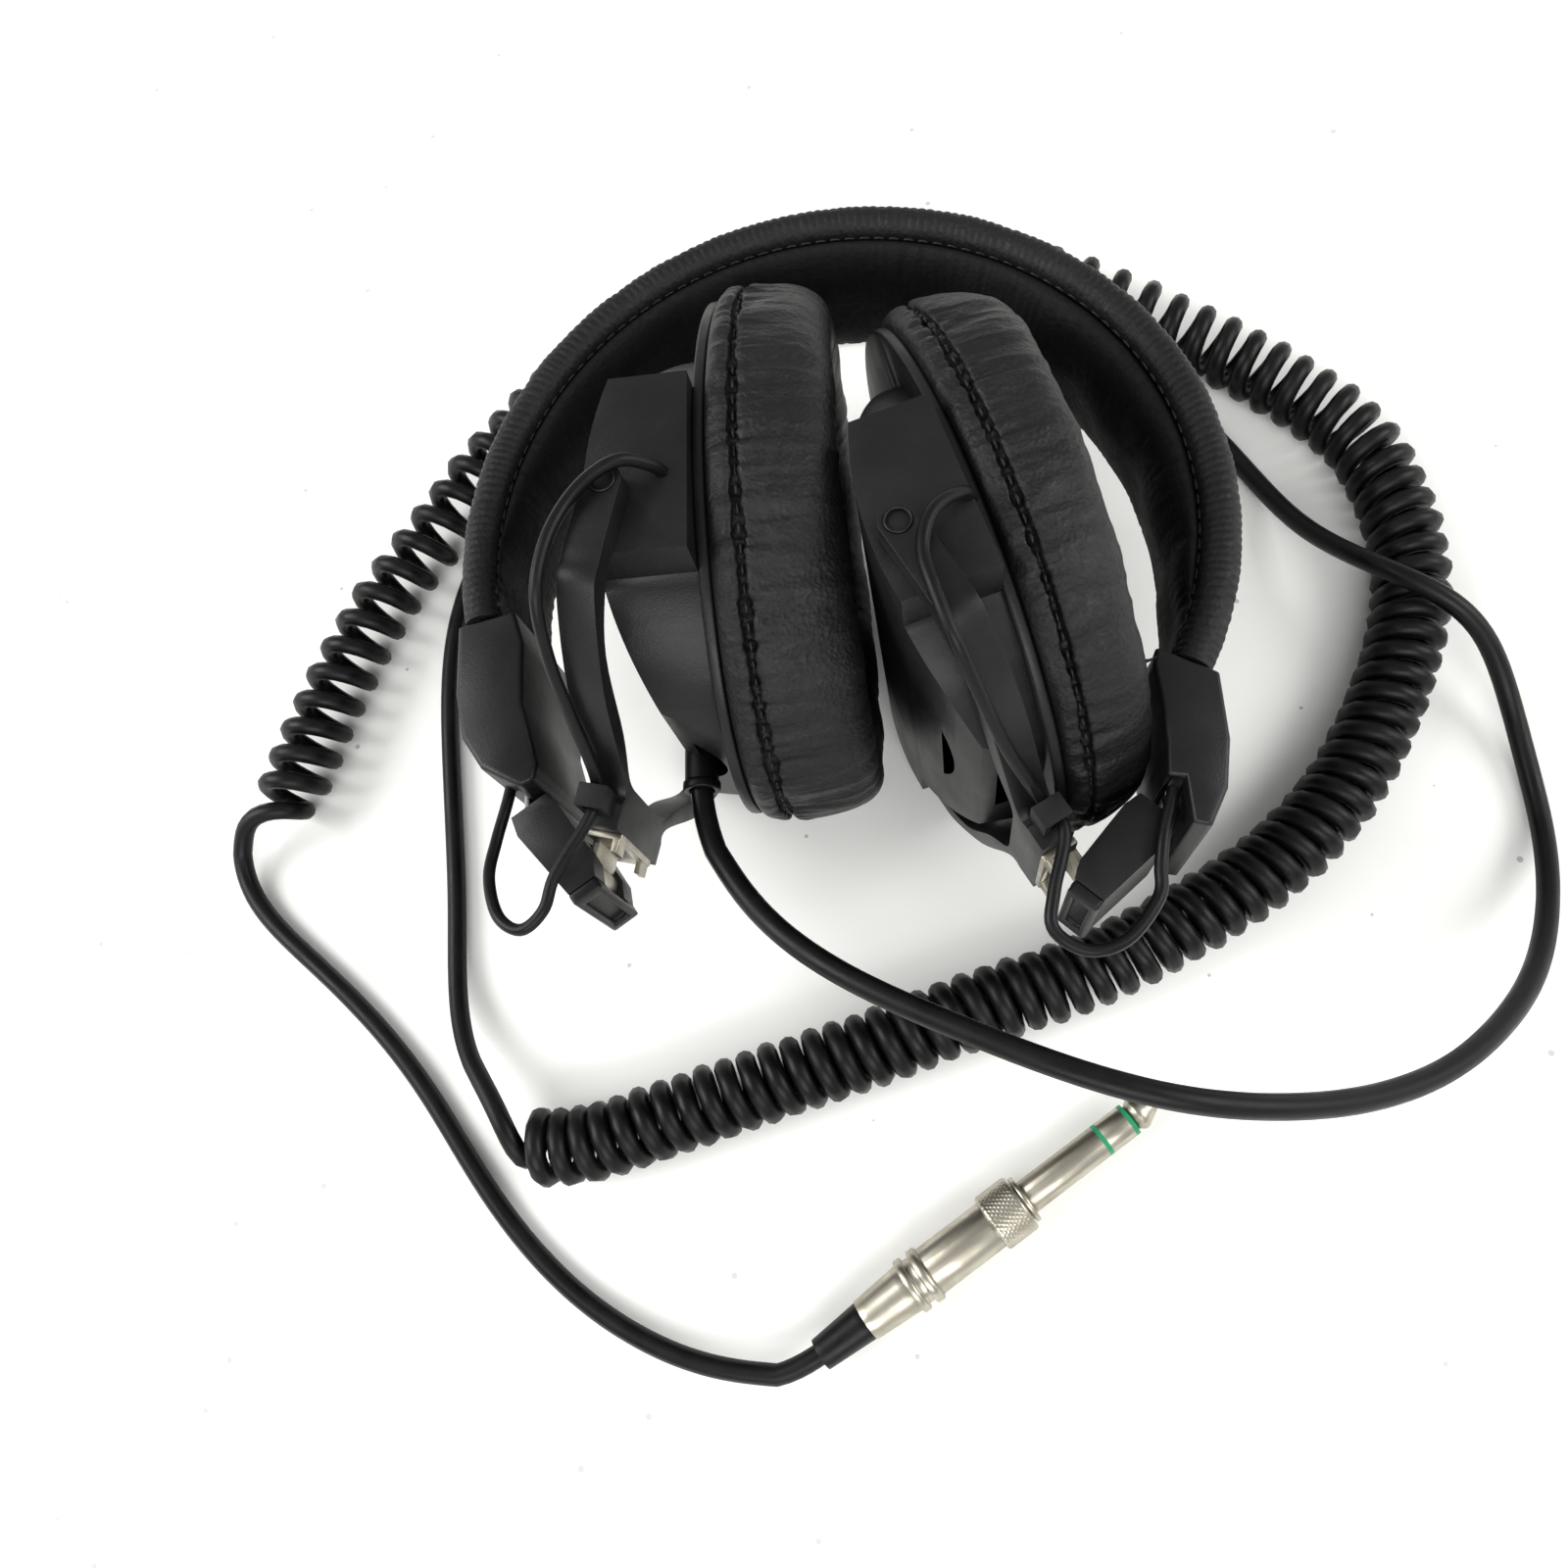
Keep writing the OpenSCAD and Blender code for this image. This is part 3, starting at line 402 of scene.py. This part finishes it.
# --- Headband leather -----------------------------------------------------------------
# One strip of black leather lies over the steel spring. Its two long edges are
# rolled round a piping cord and sewn down, which leaves ridges like a rope's.
def leather(name, base, worn, rough, depth, specular):
    made, shader = surface(name, IOR=1.45, Specular_IOR_Level=specular)
    place = in_metres(made)
    cells = node(made, "ShaderNodeTexVoronoi", {"Scale": 1300.0}, {"Vector": place})
    creases = node(made, "ShaderNodeTexNoise",
                   {"Scale": 330.0, "Detail": 7.0, "Roughness": 0.68, "Distortion": 1.4}, {"Vector": place})
    patches = node(made, "ShaderNodeTexNoise", {"Scale": 48.0, "Detail": 5.0, "Roughness": 0.6},
                   {"Vector": place})
    made.node_tree.links.new(ramp(made, patches.outputs["Fac"], 0.35, 0.72, colour(base), colour(worn)),
                             shader.inputs["Base Color"])
    made.node_tree.links.new(
        ramp(made, creases.outputs["Fac"], 0.32, 0.7, grey(rough + 0.12), grey(rough - 0.06)),
        shader.inputs["Roughness"])
    first = bump(made, shader, creases.outputs["Fac"], depth)
    bump(made, shader, cells.outputs["Distance"], depth * 0.35, first)
    return made


def closed_skin(name, rings, material, ends=True):
    count = len(rings[0])
    loops = len(rings) if not ends else len(rings) - 1
    faces = [(i * count + k, i * count + (k + 1) % count, (i + 1) % len(rings) * count + (k + 1) % count,
              (i + 1) % len(rings) * count + k) for i in range(loops) for k in range(count)]
    if ends:
        faces += [tuple(reversed(range(count))), tuple((len(rings) - 1) * count + k for k in range(count))]
    data = bpy.data.meshes.new(name)
    data.from_pydata([p for ring in rings for p in ring], [], faces)
    data.materials.append(material)
    for face in data.polygons:
        face.use_smooth = len(face.vertices) == 4
    made = bpy.data.objects.new(name, data)
    bpy.context.scene.collection.objects.link(made)
    bpy.context.view_layer.objects.active = made
    bpy.ops.object.select_all(action="DESELECT")
    made.select_set(True)
    bpy.ops.object.mode_set(mode="EDIT")
    bpy.ops.mesh.select_all(action="SELECT")
    bpy.ops.mesh.normals_make_consistent(inside=False)
    bpy.ops.object.mode_set(mode="OBJECT")
    return made


def fold(x, y=0.0, z=0.0):
    return noise.noise(Vector((x, y, z)))


def round_band(angle, radius, height):
    a = math.radians(angle)
    return Vector((radius * math.cos(a), radius * math.sin(a) + band_up, middle + height)) * 0.001


# Centre of the piping from the band's middle and half-way up, its radius, and the
# band's first angle, sweep and number of rings
piping_at, piping_high, piping = 64.8, 13.6, 3.4
band_from, band_sweep, band_rings = -28, 221, 1060
band_leather = leather("band_leather", "#0b0b0c", "#151516", 0.5, 0.00022, 0.3)
outside = [(68.1, 0.0, 0.0), (68.2, 3.5, 0.0), (68.2, 7.0, 0.0), (68.2, 10.0, 0.2)]
outside += [(piping_at + piping * math.cos(math.radians(b)), piping_high + piping * math.sin(math.radians(b)),
             1.0) for b in range(0, 165, 15)]
outside += [(61.5, 13.9, 0.3), (62.0, 12.6, 0.0), (64.0, 11.6, 0.0), (66.4, 10.6, 0.0), (66.7, 5.0, 0.0),
            (66.7, 0.0, 0.0)]
outside += [(r, -z, w) for r, z, w in reversed(outside[1:-1])]
rings = []
for i in range(band_rings + 1):
    angle = band_from + band_sweep * i / band_rings
    run = math.radians(angle - band_from) * 66
    ring = []
    for k, (r, z, w) in enumerate(outside):
        side = 1 if z >= 0 else -1
        lean = math.atan2(abs(z) - piping_high, r - piping_at)
        ridge = abs(math.sin(math.pi * (run / 1.55 + 0.25 * lean + 0.8 * fold(run / 11, side)))) ** 0.8 - 0.6
        out = w * (0.22 + 0.1 * fold(run / 23, side * 3.0)) * ridge
        wrinkle = 0.16 * fold(run / 7, z / 5, 4.0) + 0.1 * fold(run / 2.2, z / 2.4, 9.0)
        out += wrinkle * (1.0 if r > 64 or w > 0 else 0.0)
        inward = 0.0 if w > 0 or r > 67 else 1.0
        ring.append(round_band(angle, r + (out * math.cos(lean) if not inward else 0.0),
                               z + side * (out * math.sin(lean) if w > 0 else 0.0)))
    rings.append(ring)
headband_leather = closed_skin("headband_leather", rings, band_leather)
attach(headband_leather, "headband")
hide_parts("band_skin", "band_rolls")


# --- Headband lining ------------------------------------------------------------------
# A soft padded strip of thin black leather over foam closes the inside of the band.
# It is gathered along the seam beside the piping and bulges most at the crown's right.
lining_leather = leather("lining_leather", "#050506", "#0b0b0c", 0.62, 0.00018, 0.22)
crest_along = [(-28, 61.4), (-22, 60.4), (-9, 57.2), (9, 55.6), (25, 55.0), (40, 55.2), (60, 56.2),
               (90, 56.6), (125, 56.9), (150, 57.0), (169, 57.8), (183, 60.6), (193, 62.0)]


def crest_at(angle):
    for (a, ra), (b, rb) in zip(crest_along, crest_along[1:]):
        if angle <= b:
            share = (angle - a) / (b - a)
            share = share * share * (3 - 2 * share)
            return ra + (rb - ra) * share
    return crest_along[-1][1]


lining_seat, lining_rings = 61.7, 720
inside = [(0.0, 12.7, 0.0), (0.1, 13.9, 0.5), (0.22, 14.3, 0.9), (0.38, 13.9, 1.0), (0.55, 12.8, 0.9),
          (0.7, 11.2, 0.7), (0.82, 9.2, 0.5), (0.91, 7.0, 0.35), (0.97, 4.6, 0.25), (1.0, 2.2, 0.2),
          (1.0, 0.0, 0.2)]
inside = inside + [(d, -z, w) for d, z, w in reversed(inside[:-1])]
back = [(-0.5, -11.0), (-0.6, 0.0), (-0.5, 11.0)]
rings = []
for i in range(lining_rings + 1):
    angle = -27.6 + 220.2 * i / lining_rings
    run = math.radians(angle - band_from) * 62
    depth = lining_seat - crest_at(angle)
    ring = []
    for d, z, w in inside:
        side = 1 if z >= 0 else -1
        gather = 1 - 2.2 * abs(fold(run / 1.9 + 0.4 * fold(run / 6, z / 4), z / 9, side * 2.0))
        soft = fold(run / 13, z / 9, 6.0)
        out = w * 0.34 * gather * (1 if abs(z) > 6 else 0.55) + 0.7 * soft * min(1.0, d * 1.4)
        ring.append(round_band(angle, lining_seat - d * depth - out * (0.3 + 0.7 * d),
                               z + side * w * 0.12 * gather))
    for d, z in back:
        ring.append(round_band(angle, lining_seat - d * 2.6, z))
    rings.append(ring)
headband_lining = closed_skin("headband_lining", rings, lining_leather)
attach(headband_lining, "headband")
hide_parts("band_liner")


# --- Headband stitches ------------------------------------------------------------------
# Waxed black thread, three millimetres a stitch, lies in the groove between the
# piping and the lining, once along each edge.
thread_black = plastic("waxed_thread", "#0b0b0b", "#18181a", 0.42, 0.00001)


# A stitch is thin at both ends and humped in the middle: share of its length, size, lift
stitch_form = ((0.0, 0.35, -0.5), (0.12, 0.85, -0.1), (0.5, 1.0, 0.35), (0.88, 0.85, -0.1), (1.0, 0.35, -0.5))


def sewn(name, spans, thick, material):
    verts, faces = [], []
    for a, b, up in spans:
        along = (b - a).normalized()
        across = along.cross(up).normalized()
        up = across.cross(along)
        base = len(verts)
        for share, size, lift in stitch_form:
            centre = a.lerp(b, share) + up * (lift * thick * 0.6)
            verts += [centre + (across * math.cos(t * math.pi / 3) + up * math.sin(t * math.pi / 3))
                      * (thick / 2 * size) for t in range(6)]
        for i in range(4):
            faces += [(base + i * 6 + t, base + i * 6 + (t + 1) % 6, base + i * 6 + 6 + (t + 1) % 6,
                       base + i * 6 + 6 + t) for t in range(6)]
        faces += [tuple(base + t for t in reversed(range(6))), tuple(base + 24 + t for t in range(6))]
    data = bpy.data.meshes.new(name)
    data.from_pydata(verts, [], faces)
    data.materials.append(material)
    for face in data.polygons:
        face.use_smooth = True
    made = bpy.data.objects.new(name, data)
    bpy.context.scene.collection.objects.link(made)
    return made


spans = []
for side in (1, -1):
    for i in range(84):
        angle = -26.5 + 218 * i / 83
        spans.append((round_band(angle - 0.95, 61.5, side * 14.15),
                      round_band(angle + 0.95, 61.5, side * 14.15), Vector((0, 0, side))))
band_stitches = sewn("headband_stitches", spans, 0.00055, thread_black)
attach(band_stitches, "headband")


# --- Ear pads -----------------------------------------------------------------------------
# Each pad is a foam ring in wrinkled black leather: a skirt pulled over the baffle's
# flange and a crowned cushion, sewn together round the rim with puckered stitches.
pad_leather = leather("pad_leather", "#0a0a0b", "#161617", 0.42, 0.0003, 0.34)
# Height of the seat on the baffle, half sizes of the ear's opening and of the pad, the
# pad's middle along the cup, and the width and depth of its cross section
seat, ear_long, ear_high, pad_long, pad_high = 13.05, 31.0, 23.56, 49.8, 44.0
pad_middle, cut_wide, cut_deep = 9, 19.2, 20.0
pad_rings, pad_stitches, seam_out, seam_high = 560, 98, 0.945, 0.235
cup_frames = {"left": (-30.304, -2.795, 1.5), "right": (12.665, -13.209, 18.0)}
pad_cut = [(0.0, 0.3), (0.02, 0.12), (0.14, 0.02), (0.3, 0.0), (0.6, 0.0), (0.86, 0.0), (0.96, 0.04),
           (1.0, 0.12), (0.995, 0.19), (0.955, 0.235), (0.995, 0.285), (1.0, 0.42), (0.985, 0.58),
           (0.945, 0.75), (0.86, 0.9), (0.74, 0.98), (0.6, 1.0), (0.42, 0.98), (0.25, 0.91),
           (0.11, 0.78), (0.03, 0.6), (0.0, 0.45)]


def in_cup(side, x, y, z):
    x0, y0, turned = cup_frames[side]
    a = math.radians(turned)
    return Vector((x0 + x * math.cos(a) - y * math.sin(a), y0 + x * math.sin(a) + y * math.cos(a),
                   middle + z)) * 0.001


def pad_spot(side, thick, slope, angle, out, rise):
    a = math.radians(angle)
    y = (ear_long + out * (pad_long - ear_long)) * math.cos(a)
    z = (ear_high + out * (pad_high - ear_high)) * math.sin(a)
    return in_cup(side, seat + rise * (thick - slope * y), pad_middle + y, z)


cut = [Vector((o * cut_wide, s * cut_deep, 0)) for o, s in pad_cut]
looped = cut[-2:] + cut + cut[:3]
fine_cut = [curve_point(looped, i + 2, t / 4) for i in range(len(cut)) for t in range(4)]
seam_at = 9 * 4
gone = [0.0]
for a, b in zip(fine_cut, fine_cut[1:]):
    gone.append(gone[-1] + (b - a).length)
for side, thick, slope, seed in (("left", 20.8, 0.044, 3.0), ("right", 18.5, -0.055, 31.0)):
    rings, spans = [], []
    for i in range(pad_rings):
        angle = 360 * i / pad_rings
        way = Vector((math.cos(math.radians(angle)), math.sin(math.radians(angle)), 0)) * 47.3
        ring = []
        for k, p in enumerate(fine_cut):
            before, after = fine_cut[k - 1], fine_cut[(k + 1) % len(fine_cut)]
            flat_way = (after - before).normalized()
            facing = Vector((flat_way.y, -flat_way.x, 0))
            far = gone[k] - gone[seam_at]
            out = 0.0
            if p.y > 0.4:
                pucker = 1 - 2.6 * abs(fold(way.x / 1.5, way.y / 1.5, seed + far / 14))
                long_fold = 1 - 2.4 * abs(fold(way.x / 4.2, way.y / 4.2, seed * 2 + far / 22))
                cross = fold(way.x / 9, way.y / 9, seed * 3 + far / 8)
                lump = fold(way.x / 17, way.y / 17, seed + far / 18)
                near = math.exp(-abs(far) / (6.5 if far > 0 else 2.6))
                out += 0.52 * pucker * near + 0.46 * long_fold * (0.25 + 0.75 * math.exp(-abs(far) / 13))
                out += 0.36 * cross + 0.5 * lump - 0.4 - 0.85 * math.exp(-(far / 0.75) ** 2)
                out *= min(1.0, (p.y - 0.4) / 1.5)
            q = p + facing * out
            ring.append(pad_spot(side, thick, slope, angle, q.x / cut_wide, max(q.y, 0.0) / cut_deep))
        rings.append(ring)
    pad = closed_skin("ear_pad_" + side, rings, pad_leather, ends=False)
    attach(pad, "cup_" + side)
    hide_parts("pad_" + side)
    for i in range(pad_stitches):
        angle = 360 * i / pad_stitches
        a = pad_spot(side, thick, slope, angle - 1.2, seam_out, seam_high)
        b = pad_spot(side, thick, slope, angle + 1.2, seam_out, seam_high)
        spans.append((a, b, (a - pad_spot(side, thick, slope, angle, 0.2, seam_high)).normalized()))
    stitches = sewn("pad_stitches_" + side, spans, 0.0006, thread_black)
    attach(stitches, "cup_" + side)


# --- Metal pieces -----------------------------------------------------------------------
# The spring strip and sliders are rolled steel; brackets, pins, screws and the plug
# are nickel plated, dull from use, and the two rings on the jack are green plastic.
def metal(name, base, worn, rough, along):
    made, shader = surface(name, Metallic=1.0)
    place = in_metres(made)
    stretched = node(made, "ShaderNodeMapping", {"Scale": along}, {"Vector": place})
    lines = node(made, "ShaderNodeTexNoise", {"Scale": 900.0, "Detail": 4.0},
                 {"Vector": stretched.outputs[0]})
    patches = node(made, "ShaderNodeTexNoise", {"Scale": 240.0, "Detail": 4.0}, {"Vector": place})
    made.node_tree.links.new(ramp(made, patches.outputs["Fac"], 0.35, 0.7, colour(base), colour(worn)),
                             shader.inputs["Base Color"])
    made.node_tree.links.new(ramp(made, patches.outputs["Fac"], 0.3, 0.7, grey(rough), grey(rough + 0.15)),
                             shader.inputs["Roughness"])
    bump(made, shader, lines.outputs["Fac"], 0.00001)
    return made


spring_steel = metal("spring_steel", "#a8a8aa", "#8c8c8e", 0.3, (1.0, 0.05, 1.0))
nickel = metal("worn_nickel", "#b9b4a6", "#9c9688", 0.3, (1.0, 1.0, 1.0))
magnet_iron = metal("magnet_iron", "#6f6f72", "#58585a", 0.5, (1.0, 1.0, 1.0))
green_ring = plastic("green_insulator", "#1f7a52", "#2c8c62", 0.3, 0.00001)
for name in ("band_spring", "slider_left", "slider_right"):
    dress(name, spring_steel, 0.15)
for name in ("bracket_left", "bracket_right", "fold_pin_left", "fold_pin_right",
             "baffle_screws_left", "baffle_screws_right", "plug_body", "plug_rings", "jack_shaft"):
    dress(name, nickel, 0.2)
for name in ("magnet_left", "magnet_right"):
    dress(name, magnet_iron, 0.3)
dress("jack_insulators", green_ring)


# --- Plug nut and rings -----------------------------------------------------------------
# The plug's barrel is turned metal, nickel plated. Its nut has a fine diamond knurl
# for the fingers, and two narrow rings mark where the barrel unscrews.
plug_turn, plug_start = 35.2, Vector((-10.4, -136.1, 5.6))


def turned(name, profile, material, knurl=(0.0, 0.0)):
    a = math.radians(plug_turn)
    along, rings = Vector((math.cos(a), math.sin(a), 0)), []
    for far, radius in profile:
        ring = []
        for t in range(144):
            turn = 2 * math.pi * t / 144
            size = radius
            if knurl[0] < far < knurl[1]:
                size += 0.16 * abs(math.sin(turn * 18 + far * 2.6) * math.sin(turn * 18 - far * 2.6)) - 0.12
            ring.append((plug_start + along * far + Vector((-along.y, along.x, 0)) * (size * math.cos(turn))
                         + Vector((0, 0, size * math.sin(turn)))) * 0.001)
        rings.append(ring)
    return closed_skin(name, rings, material)


knurled = [(40.3 + 0.15 * k, 5.48) for k in range(41)]
plug_nut = turned("plug_knurled_nut", [(39.8, 4.4), (39.8, 5.1), (40.0, 5.36)] + knurled
                  + [(46.6, 5.36), (46.8, 5.1), (46.8, 3.9), (47.1, 3.9), (47.1, 4.5), (47.2, 4.62),
                     (47.9, 4.62),
                     (48.0, 4.5), (48.0, 3.3)], nickel, (40.25, 46.4))
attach(plug_nut, "cup_left")
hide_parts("plug_nut")
ringed = [(20.4, 4.4), (20.4, 5.1), (20.55, 5.3), (21.75, 5.3), (21.9, 5.1), (21.9, 4.5), (22.1, 4.4),
          (23.2, 4.4), (23.4, 4.5), (23.4, 5.1), (23.55, 5.3), (24.95, 5.3), (25.1, 5.1), (25.1, 4.8),
          (25.4, 4.7), (25.4, 4.2)]
plug_rings = turned("plug_barrel_rings", ringed, nickel)
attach(plug_rings, "cup_left")
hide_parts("plug_rings")


# --- Small marks ------------------------------------------------------------------------
# A pressed ring rounds each pivot on the yoke's upper arm, a plain red dot sits on the
# right end block, and a frayed end of the sewing thread stands up from the right pad.
for side, x, y in (("left", -31.24, -5.32), ("right", 12.49, -15.9)):
    rings = []
    for t in range(48):
        turn = 2 * math.pi * t / 48
        way = Vector((math.cos(turn), math.sin(turn), 0))
        rings.append([(Vector((x, y, 98.0)) + way * (1.95 + 0.24 * math.cos(b * math.pi / 4))
                       + Vector((0, 0, 0.24 * math.sin(b * math.pi / 4)))) * 0.001 for b in range(8)])
    pivot_ring = closed_skin("pivot_ring_" + side, rings, satin_plastic, ends=False)
    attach(pivot_ring, "yoke_" + side)
red_paint = plastic("red_paint", "#b3141a", "#c8262a", 0.35, 0.00001)
dot_form = ((-0.3, 1.35), (0.18, 1.35), (0.32, 1.15), (0.38, 0.7), (0.4, 0.1))
rings = [[Vector((61.1 + height, -36.4 + size * math.cos(t * math.pi / 12),
                  53.8 + size * math.sin(t * math.pi / 12))) * 0.001 for t in range(24)]
         for height, size in dot_form]
red_dot = closed_skin("red_dot", rings, red_paint)
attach(red_dot, "headband")
spans = []
for i in range(26):
    base = Vector((48.5 + 0.5 * fold(i * 1.7, 2.0), -34.0 + 0.3 * i, 70.2 + 0.05 * i))
    up = Vector((0.9 * fold(i * 2.3, 5.0), 0.9 + 0.6 * fold(i, 9.0), 0.5 + 0.9 * fold(i * 1.9, 1.0)))
    if i > 15:
        up = Vector((2.6 * fold(i * 3.1, 5.0), 1.6 * fold(i * 2.1, 9.0), 0.8 + 1.8 * abs(fold(i * 1.9, 1.0))))
        base = Vector((48.7, -28.6, 71.4)) + 0.5 * Vector((fold(i, 3.0), fold(i, 6.0), fold(i, 8.0)))
    spans.append((base * 0.001, (base + up) * 0.001, Vector((1, 0, 0.2))))
frayed_thread = sewn("frayed_thread", spans, 0.00036, thread_black)
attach(frayed_thread, "cup_right")
